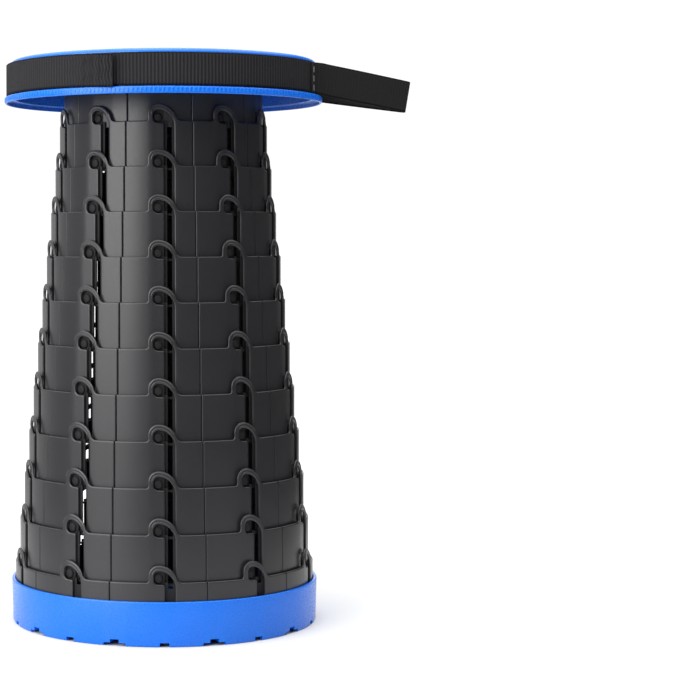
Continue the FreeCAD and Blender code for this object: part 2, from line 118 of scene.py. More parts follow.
class StoolLidSizes(bpy.types.PropertyGroup):
    height: length("Height", "Floor to the crown of the lid", 450.0)
    skirt: length("Skirt", "Radius of the strap channel", 122.4)
    rim: length("Rim", "Outer radius of the rim", 127.7)
    rim_ribs: bpy.props.IntProperty(
        name="Rim ribs", description="Grip ribs round the rim", default=240)
    strap_width: length("Strap width", "Width of the webbing", 25.0)
    strap_thickness: length("Strap thickness", "Thickness of the webbing", 1.4)
    rib: length("Rib", "Spacing of the webbing's weft ribs", 2.7)
    tail_lift: angle("Tail lift", "Stretch of the tail that stands off near its end", 22)
    tail: angle("Tail", "Part of the strap that lies double", 253)


class StoolTraySizes(bpy.types.PropertyGroup):
    height: length("Height", "Tray wall", 33.7)
    radius: length("Radius", "Outer radius at the top", 122.8)
    taper: length("Taper", "How much narrower the foot is", 1.0)
    notch: length("Notch", "Width of the narrow notches in the foot", 7.0)
    notch_rise: length("Notch rise", "Height of the narrow notches", 3.2)
    arch: length("Arch", "Width of the wide notches in the foot", 17.6)
    arch_rise: length("Arch rise", "Height of the wide notches", 2.4)
    core_rise: length("Core rise", "Height of the middle of the wide notches", 5.0)


class StoolColours(bpy.types.PropertyGroup):
    ring: colour("Rings", "Charcoal of the rings", "#1e1e20")
    ring_flow: colour("Ring flow marks", "Slightly lighter charcoal", "#232326")
    # The guides' darker charcoal is painted shade for the slots, the pin pockets and the pins.
    guide: colour("Guides", "Dull charcoal of the guide rails", "#131314")
    blue: colour("Blue", "Blue of lid and tray", "#0261cd")
    blue_flow: colour("Blue flow marks", "Slightly paler blue", "#0a66d1")
    webbing: colour("Webbing", "Black of the strap and loop", "#28282a")
    thread: colour("Thread", "Stitches", "#a5a39c")
    slider: colour("Slider", "Black of the strap slider", "#161618")
    screw: colour("Screw", "Zinc of the screws", "#b9bcc0")
    floor: colour("Floor", "Studio floor", "#c8c8c8")


# Mesh helpers

def arc(x, y, radius, start, end, steps):
    """Points on an arc about (x, y) from one angle to another, in degrees, both ends included."""
    angles = [math.radians(start + (end - start) * step / steps) for step in range(steps + 1)]
    return [(x + radius * math.cos(angle), y + radius * math.sin(angle)) for angle in angles]


def densify(loop, gap):
    """A closed loop with more points, so that no side is longer than the gap."""
    points = []
    for index, first in enumerate(loop):
        second = loop[(index + 1) % len(loop)]
        distance = math.dist(first, second)
        if distance < 1e-7:
            continue
        count = max(1, math.ceil(distance / gap - 1e-6))
        points += [tuple(a + (b - a) * step / count for a, b in zip(first, second))
                   for step in range(count)]
    return points


def inset(loop, distance):
    """A closed loop moved to its left, into the material."""
    sharpest = 0.35
    points = []
    for index, (x, y) in enumerate(loop):
        before = Vector(loop[index - 1])
        after = Vector(loop[(index + 1) % len(loop)])
        here = Vector((x, y))
        first = (here - before).normalized()
        second = (after - here).normalized()
        left = Vector((-first.y - second.y, first.x + second.x))
        left.normalize()
        slant = max(sharpest, left.dot(Vector((-first.y, first.x))))
        points.append((x + left.x * distance / slant, y + left.y * distance / slant))
    return points


def inside(x, y, loops):
    """Whether a point lies in the material between an outline and its holes."""
    odd = False
    for loop in loops:
        for index, (x1, y1) in enumerate(loop):
            x0, y0 = loop[index - 1]
            if (y0 > y) != (y1 > y) and x < x0 + (y - y0) / (y1 - y0) * (x1 - x0):
                odd = not odd
    return odd


def far_from(point, loops, distance):
    return all(math.dist(point, other) > distance for loop in loops for other in loop)


def fill(loops):
    """Points and triangles that cover the material between an outline and its holes."""
    clear = GRID * 0.45
    points = [point for loop in loops for point in loop]
    sides = []
    start = 0
    for loop in loops:
        sides += [(start + index, start + (index + 1) % len(loop)) for index in range(len(loop))]
        start += len(loop)
    xs, ys = zip(*loops[0])
    for column in range(math.ceil(min(xs) / GRID), math.ceil(max(xs) / GRID)):
        for row in range(math.ceil(min(ys) / GRID / 2), math.ceil(max(ys) / GRID / 2)):
            spot = (column * GRID, row * GRID * 2)
            if inside(*spot, loops) and far_from(spot, loops, clear):
                points.append(spot)
    # Rounding keeps points on a straight side in line, so that no slivers arise between them.
    vertices, _, triangles, origins, _, _ = delaunay_2d_cdt(
        [Vector((round(x, 9), round(y, 9))) for x, y in points], sides, [], 1, 1e-8, True)
    source = [item[0] for item in origins]
    kept = []
    for triangle in triangles:
        x = sum(vertices[v].x for v in triangle) / 3
        y = sum(vertices[v].y for v in triangle) / 3
        if inside(x, y, loops):
            kept.append([source[v] for v in triangle])
    return points, kept


def plate(loops, front, thickness, edge):
    """A flat plate with rounded front edges: points (right, up, out) and faces."""
    loops = [densify(loop, GRID) for loop in loops]
    hold = min(edge, thickness - edge) * 0.5
    layers = [(edge + hold, 0.0)]
    layers += [(edge * (1 - math.sin(turn)), -edge * (1 - math.cos(turn)))
               for turn in (0, math.pi / 6, math.pi / 3, math.pi / 2)]
    layers += [(0.0, hold - thickness), (hold, -thickness)]
    points = []
    faces = []
    caps = []
    for depth, out in layers:
        rows = [inset(loop, depth) if depth else loop for loop in loops]
        caps.append((len(points), rows))
        points += [(x, y, front + out) for row in rows for x, y in row]
    for (first, rows), (second, _) in zip(caps, caps[1:]):
        start = 0
        for row in rows:
            for index in range(len(row)):
                following = (index + 1) % len(row)
                faces.append((first + start + index, second + start + index,
                              second + start + following, first + start + following))
            start += len(row)
    for (base, rows), out, flip in ((caps[0], 0.0, False), (caps[-1], -thickness, True)):
        spots, triangles = fill(rows)
        known = sum(len(row) for row in rows)
        extra = len(points)
        points += [(x, y, front + out) for x, y in spots[known:]]
        for triangle in triangles:
            face = [base + v if v < known else extra + v - known for v in triangle]
            faces.append(face[::-1] if flip else face)
    return points, faces


def ridge(path, half_width, height):
    """A fine raised line along a path on a plate's face."""
    points = []
    for index, (x, y) in enumerate(path):
        before = Vector(path[max(index - 1, 0)])
        after = Vector(path[min(index + 1, len(path) - 1)])
        along = (after - before).normalized()
        ends = 0.0 if index in (0, len(path) - 1) else 1.0
        for side, out in ((1, -height), (0, height * ends), (-1, -height)):
            points.append((x - along.y * half_width * side, y + along.x * half_width * side, out))
    last = len(points) - 3
    faces = [(0, 2, 1), (last, last + 1, last + 2)]
    for start in range(0, last, 3):
        for side in range(3):
            a, b = start + side, start + (side + 1) % 3
            faces.append((a, b, b + 3, a + 3))
    return points, faces


def knob(x, y, profile, segments, stretch):
    """A knob that stands out of a plate, from (radius, out) pairs that end on its axis.

    Its top half is lifted by the stretch.
    """
    points = []
    for radius, out in profile[:-1]:
        circle = arc(x, y, radius, 0, 360, segments)[:-1]
        points += [(px, py + stretch * (py > y + 1e-7), out) for px, py in circle]
    points.append((x, y, profile[-1][1]))
    faces = [list(range(segments))[::-1]]
    for ring in range(len(profile) - 2):
        for index in range(segments):
            following = (index + 1) % segments
            a, b = ring * segments, (ring + 1) * segments
            faces.append((a + index, a + following, b + following, b + index))
    last = (len(profile) - 2) * segments
    faces += [(last + index, last + (index + 1) % segments, len(points) - 1)
              for index in range(segments)]
    return points, faces


def wrap(points, radius, flat):
    """Points on a flat plate laid round the front of a cylinder that has a flat down its middle."""
    places = []
    limit = flat / radius
    for right, up, out in points:
        turn = right / radius
        reach = radius * math.cos(limit) / math.cos(turn) if abs(turn) < limit else radius
        places.append(((reach + out) * math.sin(turn), -(reach + out) * math.cos(turn), up))
    return places


def gather(name, shells):
    """One mesh from several shells of points and faces."""
    points = []
    faces = []
    for shell_points, shell_faces in shells:
        start = len(points)
        points += shell_points
        faces += [[start + v for v in face] for face in shell_faces]
    mesh = bpy.data.meshes.new(name)
    mesh.from_pydata(points, [], faces)
    mesh.validate()
    return mesh


def rounded(corners, steps=5):
    """A line through (radius, height, rounding) corners, with each corner rounded."""
    line = []
    for index, (x, y, radius) in enumerate(corners):
        here = Vector((x, y))
        if radius == 0 or index in (0, len(corners) - 1):
            line.append((x, y))
            continue
        before = (Vector(corners[index - 1][:2]) - here).normalized()
        after = (Vector(corners[index + 1][:2]) - here).normalized()
        half = before.angle(after) / 2
        middle = here + (before + after).normalized() * radius / math.sin(half)
        start = here + before * radius / math.tan(half) - middle
        end = here + after * radius / math.tan(half) - middle
        sweep = start.angle_signed(end)
        for step in range(steps + 1):
            spot = middle + Matrix.Rotation(-sweep * step / steps, 2) @ start
            line.append(tuple(spot))
    return line


def lathe(profile, angles, shift=None):
    """A closed turned shell from a profile that starts and ends on the axis, the upper end first.

    shift gives a point's height from its angle, radius and height.
    """
    points = [(0, 0, profile[0][1]), (0, 0, profile[-1][1])]
    rows = profile[1:-1]
    for angle in angles:
        for radius, height in rows:
            if shift:
                height = shift(angle, radius, height)
            points.append((radius * math.cos(angle), radius * math.sin(angle), height))
    faces = []
    size = len(rows)
    for index in range(len(angles)):
        a = 2 + index * size
        b = 2 + (index + 1) % len(angles) * size
        faces.append((0, a, b))
        faces += [(a + row, a + row + 1, b + row + 1, b + row) for row in range(size - 1)]
        faces.append((1, b + size - 1, a + size - 1))
    return points, faces


def even_angles(count):
    return [math.tau * index / count for index in range(count)]


def bar(low, high, edge):
    """A box with bevelled edges between two corners."""
    builder = bmesh.new()
    bmesh.ops.create_cube(builder, size=1.0)
    spread = Vector(high) - Vector(low)
    middle = (Vector(high) + Vector(low)) / 2
    place = Matrix.Translation(middle) @ Matrix.Diagonal((*spread, 1))
    bmesh.ops.transform(builder, matrix=place, verts=builder.verts)
    bmesh.ops.bevel(
        builder, geom=builder.edges[:], offset=edge, segments=2, affect="EDGES", profile=0.5)
    points = [tuple(vertex.co) for vertex in builder.verts]
    builder.verts.index_update()
    faces = [[vertex.index for vertex in face.verts] for face in builder.faces]
    builder.free()
    return points, faces


def ribbon(name, places, width, thickness, closed, ribs):
    """Webbing along places, each (point, outward, upward), with a UV map in metres.

    ribs gives how far the webbing stands out at a place and a height on its width, and how far
    its ribs bend there.
    """
    steps = 12
    half, thick = width / 2, thickness / 2
    section = [(thick, -half + thick * 0.6 + (width - thick * 1.2) * step / steps)
               for step in range(steps + 1)]
    section += [(thick * 0.4, half), (-thick * 0.4, half)]
    section += [(-x, -y) for x, y in section[:steps + 1]]
    section += [(-thick * 0.4, -half), (thick * 0.4, -half)]
    size = len(section)
    builder = bmesh.new()
    layer = builder.loops.layers.uv.new("webbing")
    rings = []
    run = [0.0]
    for index, (point, outward, upward) in enumerate(places):
        rings.append([builder.verts.new(point + outward * (x + ribs(index, y)[0]) + upward * y)
                      for x, y in section])
        following = places[(index + 1) % len(places)][0]
        run.append(run[-1] + (following - point).length)
    count = len(places) if closed else len(places) - 1
    for index in range(count):
        first, second = rings[index], rings[(index + 1) % len(places)]
        for row in range(size):
            after = (row + 1) % size
            face = builder.faces.new((first[row], second[row], second[after], first[after]))
            corners = ((index, row), (index + 1, row), (index + 1, after), (index, after))
            for loop, (place, spot) in zip(face.loops, corners):
                height = section[spot][1]
                loop[layer].uv = (run[place] + ribs(place % len(places), height)[1], height)
    if not closed:
        for ring, place in ((rings[0], 0), (rings[-1], len(places) - 1)):
            face = builder.faces.new(ring)
            for loop in face.loops:
                loop[layer].uv = (run[place], 0.0)
    bmesh.ops.recalc_face_normals(builder, faces=builder.faces[:])
    mesh = bpy.data.meshes.new(name)
    builder.to_mesh(mesh)
    builder.free()
    return mesh, run[count]


# Geometry Nodes

def add_node(tree, kind, links=None, **settings):
    """Adds a node with its settings; links gives each input a socket to read or a value."""
    node = tree.nodes.new(kind)
    for name, value in settings.items():
        setattr(node, name, value)
    for name, value in (links or {}).items():
        if isinstance(value, bpy.types.NodeSocket):
            tree.links.new(value, node.inputs[name])
        else:
            node.inputs[name].default_value = value
    return node


def repeat_tree():
    """Repeats a shape by a turn about the stool's axis and a step, and gives it its finish."""
    tree = bpy.data.node_groups.get("repeat_round_the_stool")
    if tree:
        return tree
    tree = bpy.data.node_groups.new("repeat_round_the_stool", "GeometryNodeTree")
    sockets = (("Shape", "Geometry"), ("Count", "Int"), ("Turn", "Float"), ("Step", "Vector"),
               ("Finish", "Material"))
    for name, kind in sockets:
        tree.interface.new_socket(name, in_out="INPUT", socket_type=f"NodeSocket{kind}")
    tree.interface.new_socket("Shape", in_out="OUTPUT", socket_type="NodeSocketGeometry")
    given = add_node(tree, "NodeGroupInput").outputs
    index = add_node(tree, "GeometryNodeInputIndex").outputs[0]
    place = add_node(tree, "ShaderNodeVectorMath", {
        0: given["Step"], "Scale": index}, operation="SCALE")
    points = add_node(tree, "GeometryNodePoints", {
        "Count": given["Count"], "Position": place.outputs[0]})
    turn = add_node(tree, "ShaderNodeMath", {0: given["Turn"], 1: index}, operation="MULTIPLY")
    spin = add_node(tree, "ShaderNodeCombineXYZ", {"Z": turn.outputs[0]})
    placed = add_node(tree, "GeometryNodeInstanceOnPoints", {
        "Points": points.outputs[0], "Instance": given["Shape"], "Rotation": spin.outputs[0]})
    real = add_node(tree, "GeometryNodeRealizeInstances", {0: placed.outputs[0]})
    done = add_node(tree, "GeometryNodeSetMaterial", {
        "Geometry": real.outputs[0], "Material": given["Finish"]})
    add_node(tree, "NodeGroupOutput", {0: done.outputs[0]})
    return tree


def repeat(mesh, count, turn, finish, step=(0, 0, 0)):
    """The mesh repeated by the node tree, as a plain mesh."""
    shape = bpy.data.objects.new(mesh.name, mesh)
    bpy.context.collection.objects.link(shape)
    modifier = shape.modifiers.new("repeat", "NODES")
    modifier.node_group = repeat_tree()
    values = {"Count": count, "Turn": turn, "Step": step, "Finish": finish}
    for item in modifier.node_group.interface.items_tree:
        if item.in_out == "INPUT" and item.name in values:
            modifier[item.identifier] = values[item.name]
    graph = bpy.context.evaluated_depsgraph_get()
    result = bpy.data.meshes.new_from_object(shape.evaluated_get(graph), depsgraph=graph)
    bpy.data.objects.remove(shape)
    return result


def join(name, meshes):
    """Several meshes as one, with points that lie on one another merged."""
    builder = bmesh.new()
    for mesh in meshes:
        builder.from_mesh(mesh)
    bmesh.ops.remove_doubles(builder, verts=builder.verts[:], dist=0.001 * MM)
    whole = bpy.data.meshes.new(name)
    builder.to_mesh(whole)
    builder.free()
    return whole


def make_piece(name, mesh, finish, body, nodes=(), sharp=50):
    """A finished piece that rides on a body and stands for its nodes."""
    mesh.materials.clear()
    mesh.materials.append(finish)
    mesh.polygons.foreach_set("material_index", [0] * len(mesh.polygons))
    mesh.shade_smooth()
    mesh.set_sharp_from_angle(angle=math.radians(sharp))
    piece = bpy.data.objects.new(name, mesh)
    bpy.context.collection.objects.link(piece)
    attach(piece, body)
    if nodes:
        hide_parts(*nodes)
    return piece


# Finishes

def new_finish(name):
    finish = bpy.data.materials.new(name)
    finish.use_nodes = True
    finish.node_tree.nodes.clear()
    return finish, finish.node_tree


# For each plastic: its name, its colour and that of its flow marks, its roughness, the width and
# depth of its grain, and its gloss level. The guides are of the rings' plastic with a low gloss
# level, which gives back little light; their darker colour is painted shade for the slots, the pin
# pockets and the pins.
PLASTICS = {
    "ring": ("moulded_charcoal_polypropylene", "ring", "ring_flow",
             0.34, 1.1 * MM, 0.04 * MM, 0.55),
    "guide": ("moulded_charcoal_polypropylene_painted_shade", "guide", "ring",
              0.6, 1.1 * MM, 0.04 * MM, 0.2),
    "blue": ("moulded_blue_polypropylene", "blue", "blue_flow",
             0.28, 1.2 * MM, 0.03 * MM, 0.42),
    "slider": ("moulded_black_acetal", "slider", "ring",
               0.35, 0.9 * MM, 0.03 * MM, 0.5),
}


def moulded_plastic(kind):
    """Moulded plastic: a spark-eroded grain that breaks up the gloss, and faint flow marks."""
    name, main, flow, rough, grain, grain_depth, gloss_level = PLASTICS[kind]
    if name in bpy.data.materials:
        return bpy.data.materials[name]
    colours = bpy.context.scene.stool_colours
    finish, tree = new_finish(name)
    place = add_node(tree, "ShaderNodeTexCoord").outputs["Object"]
    # Flow marks are about 45 mm long. The grain is coarser than the real one, so that it shows.
    marks = add_node(tree, "ShaderNodeTexNoise", {
        "Vector": place, "Scale": 1 / (45 * MM), "Detail": 2.0})
    tint = add_node(tree, "ShaderNodeMix", {
        "Factor": marks.outputs["Fac"], 6: getattr(colours, main), 7: getattr(colours, flow)},
        data_type="RGBA")
    fine = add_node(tree, "ShaderNodeTexNoise", {
        "Vector": place, "Scale": 1 / grain, "Detail": 3.0})
    gloss = add_node(tree, "ShaderNodeMapRange", {
        "Value": fine.outputs["Fac"], "From Min": 0.3, "From Max": 0.7,
        "To Min": rough - 0.05, "To Max": rough + 0.06})
    bump = add_node(tree, "ShaderNodeBump", {
        "Height": fine.outputs["Fac"], "Strength": 0.5, "Distance": grain_depth})
    shader = add_node(tree, "ShaderNodeBsdfPrincipled", {
        "Base Color": tint.outputs[2], "Roughness": gloss.outputs[0], "Normal": bump.outputs[0],
        "IOR": 1.49, "Specular IOR Level": gloss_level})
    add_node(tree, "ShaderNodeOutputMaterial", {"Surface": shader.outputs[0]})
    return finish


def woven_webbing(name, groove, face, relief):
    """Woven polypropylene webbing: ribs from the thick weft, fine warp threads and dark edge bands.

    groove and face are the shares of the colour that show between the ribs and on them. The darker
    groove share is painted shade in the grooves between the ribs, and the dark edge bands are a
    selvedge deepened into painted shade.
    """
    scene = bpy.context.scene
    finish, tree = new_finish(name)
    place = add_node(tree, "ShaderNodeUVMap", uv_map="webbing").outputs[0]
    # The ribs stand as far apart as the modelled ones. The warp threads are drawn 1.6 mm apart,
    # coarser than the real ones, so that they show.
    ribs = add_node(tree, "ShaderNodeTexWave", {
        "Vector": place, "Scale": WAVE / scene.stool_lid.rib, "Distortion": 0.9, "Detail": 1.0,
        "Detail Scale": 0.6}, bands_direction="X")
    warp = add_node(tree, "ShaderNodeTexWave", {
        "Vector": place, "Scale": WAVE / (1.6 * MM), "Distortion": 0.6}, bands_direction="Y")
    fuzz = add_node(tree, "ShaderNodeTexNoise", {
        "Vector": place, "Scale": 1 / (0.7 * MM), "Detail": 2.0})
    height = ribs.outputs["Fac"]
    for threads, share in ((warp, 0.3), (fuzz, 0.35)):
        height = add_node(tree, "ShaderNodeMath", {
            0: threads.outputs["Fac"], 1: share, 2: height}, operation="MULTIPLY_ADD").outputs[0]
    # The colour between the ribs is the groove share, darker than on them: painted shade in the
    # grooves.
    dark, light, selvedge_and_shade_colour = (
        [value * share for value in scene.stool_colours.webbing[:3]] + [1.0]
        for share in (groove, face, face * 0.25))
    woven = add_node(tree, "ShaderNodeMix", {
        "Factor": ribs.outputs["Fac"], 6: dark, 7: light}, data_type="RGBA")
    # Near each edge the colour darkens to a quarter of the face share: a darker selvedge, deepened
    # into painted shade for the dark lines along the webbing's edges.
    across = add_node(tree, "ShaderNodeSeparateXYZ", {0: place}).outputs["Y"]
    from_middle = add_node(tree, "ShaderNodeMath", {0: across}, operation="ABSOLUTE")
    half = scene.stool_lid.strap_width / 2
    selvedge_and_shade = add_node(tree, "ShaderNodeMapRange", {
        "Value": from_middle.outputs[0], "From Min": half - 1.7 * MM, "From Max": half - 0.9 * MM})
    shade = add_node(tree, "ShaderNodeMix", {
        "Factor": selvedge_and_shade.outputs[0], 6: woven.outputs[2], 7: selvedge_and_shade_colour}, data_type="RGBA")
    bump = add_node(tree, "ShaderNodeBump", {
        "Height": height, "Strength": relief, "Distance": 0.3 * MM})
    shader = add_node(tree, "ShaderNodeBsdfPrincipled", {
        "Base Color": shade.outputs[2], "Normal": bump.outputs[0], "Roughness": 0.7,
        "Specular IOR Level": 0.12, "Sheen Weight": 0.02, "Sheen Roughness": 0.5})
    add_node(tree, "ShaderNodeOutputMaterial", {"Surface": shader.outputs[0]})
    return finish


def spun_thread(colours):
    """Spun polyester thread: off white, matt, with a twist every 0.8 mm."""
    finish, tree = new_finish("spun_polyester_thread")
    place = add_node(tree, "ShaderNodeTexCoord").outputs["Object"]
    twist = add_node(tree, "ShaderNodeTexWave", {
        "Vector": place, "Scale": WAVE / (0.8 * MM)}, bands_direction="DIAGONAL")
    dim = [value * 0.75 for value in colours.thread[:3]] + [1.0]
    shade = add_node(tree, "ShaderNodeMix", {
        "Factor": twist.outputs["Fac"], 6: dim, 7: colours.thread}, data_type="RGBA")
    shader = add_node(tree, "ShaderNodeBsdfPrincipled", {
        "Base Color": shade.outputs[2], "Roughness": 0.7})
    add_node(tree, "ShaderNodeOutputMaterial", {"Surface": shader.outputs[0]})
    return finish


def plated_steel(colours):
    """Zinc plated steel: a bright metal with a slightly cloudy gloss, in spangles of 1.2 mm."""
    finish, tree = new_finish("zinc_plated_steel")
    place = add_node(tree, "ShaderNodeTexCoord").outputs["Object"]
    cloud = add_node(tree, "ShaderNodeTexNoise", {
        "Vector": place, "Scale": 1 / (1.2 * MM), "Detail": 2.0})
    gloss = add_node(tree, "ShaderNodeMapRange", {
        "Value": cloud.outputs["Fac"], "To Min": 0.22, "To Max": 0.42})
    shader = add_node(tree, "ShaderNodeBsdfPrincipled", {
        "Base Color": colours.screw, "Roughness": gloss.outputs[0], "Metallic": 1.0})
    add_node(tree, "ShaderNodeOutputMaterial", {"Surface": shader.outputs[0]})
    return finish


# Rings

def panel_outline(sizes, place):
    """A panel's outer line, counterclockwise: the slot and the pin pocket, then the hook on top."""
    apex, top = -sizes.hook_apex, place.top
    shoulder, side = sizes.hook_shoulder, sizes.hook_side
    slot_right = sizes.slot_left + sizes.slot_width
    pocket = sizes.pin + 0.5 * MM
    band = 4.4 * MM
    crown = top + sizes.hook_rise - band
    sweep = slot_right - apex
    seat = top + sizes.pin_lift
    lip, sill = 1.6 * MM, 1.7 * MM
    line = [(place.left, place.bottom), (sizes.slot_left, place.bottom)]
    line += arc(sizes.slot_left - lip, seat - pocket - sill, lip, 0, 75, 4)
    line += arc(apex, seat, pocket, 270, 180, 6)
    line += arc(apex, crown - pocket, pocket, 180, 90, 6)[:-1]
    line += arc(apex, crown - sweep, sweep, 90, 0, 12)
    line += [(slot_right, place.bottom), (place.right, place.bottom), (place.right, top)]
    base = top + sizes.hook_rise - shoulder
    blend, small = 4.0 * MM, 2.0 * MM
    reach = math.sqrt((shoulder + blend) ** 2 - (top + blend - base) ** 2)
    lean = math.degrees(math.atan2(top + blend - base, reach))
    line += arc(apex + reach, top + blend, blend, 270, 180 + lean, 6)
    line += arc(apex, base, shoulder, lean, 90, 12)[1:]
    line += arc(apex, top + sizes.hook_rise - side, side, 90, 180, 8)[1:]
    line += arc(apex - side - small, top + small, small, 0, -90, 4)
    line.append((place.left, top))
    return line


def band_lines(sizes, top):
    """The two fine moulded lines along a hook's band, which leave a groove between them."""
    apex, crown = -sizes.hook_apex, top + sizes.hook_rise
    lines = []
    for margin in (0.95 * MM, 2.85 * MM):
        shoulder, side = sizes.hook_shoulder, sizes.hook_side
        line = arc(apex, crown - shoulder, shoulder - margin, 25, 90, 10)
        line += arc(apex, crown - side, side - margin, 90, 180, 8)[1:]
        line.append((line[-1][0], top + 0.5 * MM))
        lines.append(line)
    return lines


def upright(left, right, bottom, top):
    return [(left, bottom), (right, bottom), (right, top), (left, top)]


class RingPlace:
    """Where a ring stands: its radius, its lower and upper edge, and its panel seams."""

    def __init__(self, sizes, number):
        lowest = sizes.rings - 1
        self.radius = sizes.radius - sizes.step * (lowest - number)
        self.bottom = sizes.seat + sizes.rise * (lowest - number)
        self.top = self.bottom + sizes.rise + sizes.overlap
        self.foot = self.bottom + 3.0 * MM
        self.pin_height = self.bottom + sizes.overlap + sizes.pin_lift
        if number == 0:
            self.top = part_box("ring_00")[1][2]
        if number == lowest:
            self.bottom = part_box("ring_11")[0][2]
        self.seam = self.radius * sizes.seam
        self.right = self.seam - sizes.gap / 2
        self.left = self.seam - self.radius * math.tau / sizes.columns + sizes.gap / 2


def ring_panel(sizes, number):
    """One panel of a ring from seam to seam, with its hook and any flange."""
    place = RingPlace(sizes, number)
    wall, edge, top = sizes.wall, sizes.edge, place.top
    shells = []
    if number == 0:
        outline = upright(place.left, place.right, place.bottom, top)
        shells.append(plate([outline], 0.0, wall, edge))
    else:
        shells.append(plate([panel_outline(sizes, place)], 0.0, wall, edge))
        shells += [ridge(line, 0.75 * MM, 0.2 * MM) for line in band_lines(sizes, top)]
    # A strip behind the seam makes it a groove.
    half_strip, sunk = 2.0 * MM, 1.25 * MM
    backing = upright(
        place.seam - half_strip, place.seam + half_strip, place.bottom + edge, top - edge)
    shells.append(plate([backing], -sunk, wall - 1.3 * MM, FINE))
    flanges = {0: top - BOSS - FLANGE, sizes.rings - 1: place.bottom}
    if number in flanges:
        low = flanges[number]
        flange = upright(
            place.left - sizes.gap / 2, place.seam + 0.05 * MM, low, low + FLANGE)
        shells.append(plate([flange], 0.2 * MM - wall, 12.2 * MM, 0.3 * MM))
    return gather(f"ring_{number:02d}_panel",
                  [(wrap(points, place.radius, sizes.column), faces) for points, faces in shells])


def panel_guides(sizes, number):
    """The rails behind a panel's slot, their cheeks and foot bar, and the pin on a dark pad of
    painted shade.
    """
    place = RingPlace(sizes, number)
    foot, top = place.foot, place.top
    slot_left, slot_right = sizes.slot_left, sizes.slot_left + sizes.slot_width
    cheek, hidden, foot_bar = 0.8 * MM, 0.4 * MM, 1.6 * MM
    wall = sizes.wall - FINE
    depth, back = sizes.rail_depth, sizes.rail_depth + 1.0 * MM
    shells = []
    if number > 0:
        for start, end, low, high, front in (
                (slot_left, slot_left + sizes.left_rail, foot, top, depth),
                (slot_right - sizes.right_rail, slot_right, foot, top, depth),
                (slot_left - hidden, slot_left + FINE, foot, top, wall),
                (slot_right - FINE, slot_right + cheek, foot, top, wall),
                (slot_left - cheek, slot_right + cheek, foot - foot_bar, foot + FINE,
                 wall - 0.3 * MM)):
            strip = upright(start, end, low, high)
            shells.append(plate([strip], -front, back - front, FINE))
    if number == sizes.rings - 1:
        # A strip closes the lowest slots, which would show the tray; its dark guide plastic is
        # painted shade.
        closing = upright(slot_left + FINE, slot_right - FINE, foot, top - sizes.overlap)
        shells.append(plate([closing], -depth - 0.2 * MM, 0.6 * MM, FINE))
    if number < sizes.rings - 1:
        tip = sizes.step - sizes.wall - 0.3 * MM
        pin = sizes.pin
        profile = [(pin, -0.6 * MM), (pin, tip - 0.9 * MM), (pin - 0.3 * MM, tip - 0.4 * MM),
                   (pin - 0.9 * MM, tip - 0.1 * MM), (1.0 * MM, tip), (0.0, tip)]
        shells.append(knob(-sizes.hook_apex, place.pin_height, profile, 20, sizes.pin_stretch))
        # A thin pad of the dark guide plastic round the pin: painted shade in the hook's pocket.
        pad = upright(-sizes.hook_apex - pin - 1.5 * MM, slot_left - hidden,
                      place.bottom + 1.0 * MM, place.pin_height + 7.5 * MM)
        shells.append(plate([pad], 0.12 * MM, 0.5 * MM, FINE))
    return gather(f"ring_{number:02d}_panel_guides",
                  [(wrap(points, place.radius, sizes.column), faces) for points, faces in shells])


def ring_body(sizes, number):
    return {0: "lid", sizes.rings - 1: "base"}.get(number, f"ring_{number:02d}_body")


def round_the_flange(name, profile, segments, number, finish):
    """A turned shape at each of the screws in a ring's flange."""
    rings = bpy.context.scene.stool_rings
    away = RingPlace(rings, number).radius - rings.wall - SCREW_INSET
    points, faces = lathe(profile, even_angles(segments))
    shape = gather(name, [([(x, y - away, z) for x, y, z in points], faces)])
    return repeat(shape, SCREWS, math.tau / SCREWS, finish)


class STOOL_OT_rings(bpy.types.Operator):
    """Makes the twelve nested rings, each of ten hooked panels"""

    bl_idname = "stool.rings"
    bl_label = "Rings"

    def execute(self, context):
        sizes = context.scene.stool_rings
        finish = moulded_plastic("ring")
        turn = math.tau / sizes.columns
        for number in range(sizes.rings):
            mesh = repeat(ring_panel(sizes, number), sizes.columns, turn, finish)
            node = f"ring_{number:02d}"
            body = ring_body(sizes, number)
            make_piece(f"{node}_moulding", mesh, finish, body, [node])
        return {"FINISHED"}


class STOOL_OT_guides(bpy.types.Operator):
    """Makes the guide rails in the rings' slots and the pins that hang in the hooks"""

    bl_idname = "stool.guides"
    bl_label = "Guides and pins"

    def execute(self, context):
        sizes = context.scene.stool_rings
        finish = moulded_plastic("guide")
        turn = math.tau / sizes.columns
        for number in range(sizes.rings):
            mesh = repeat(panel_guides(sizes, number), sizes.columns, turn, finish)
            body = ring_body(sizes, number)
            make_piece(f"ring_{number:02d}_guides", mesh, finish, body)
        return {"FINISHED"}


# Lid

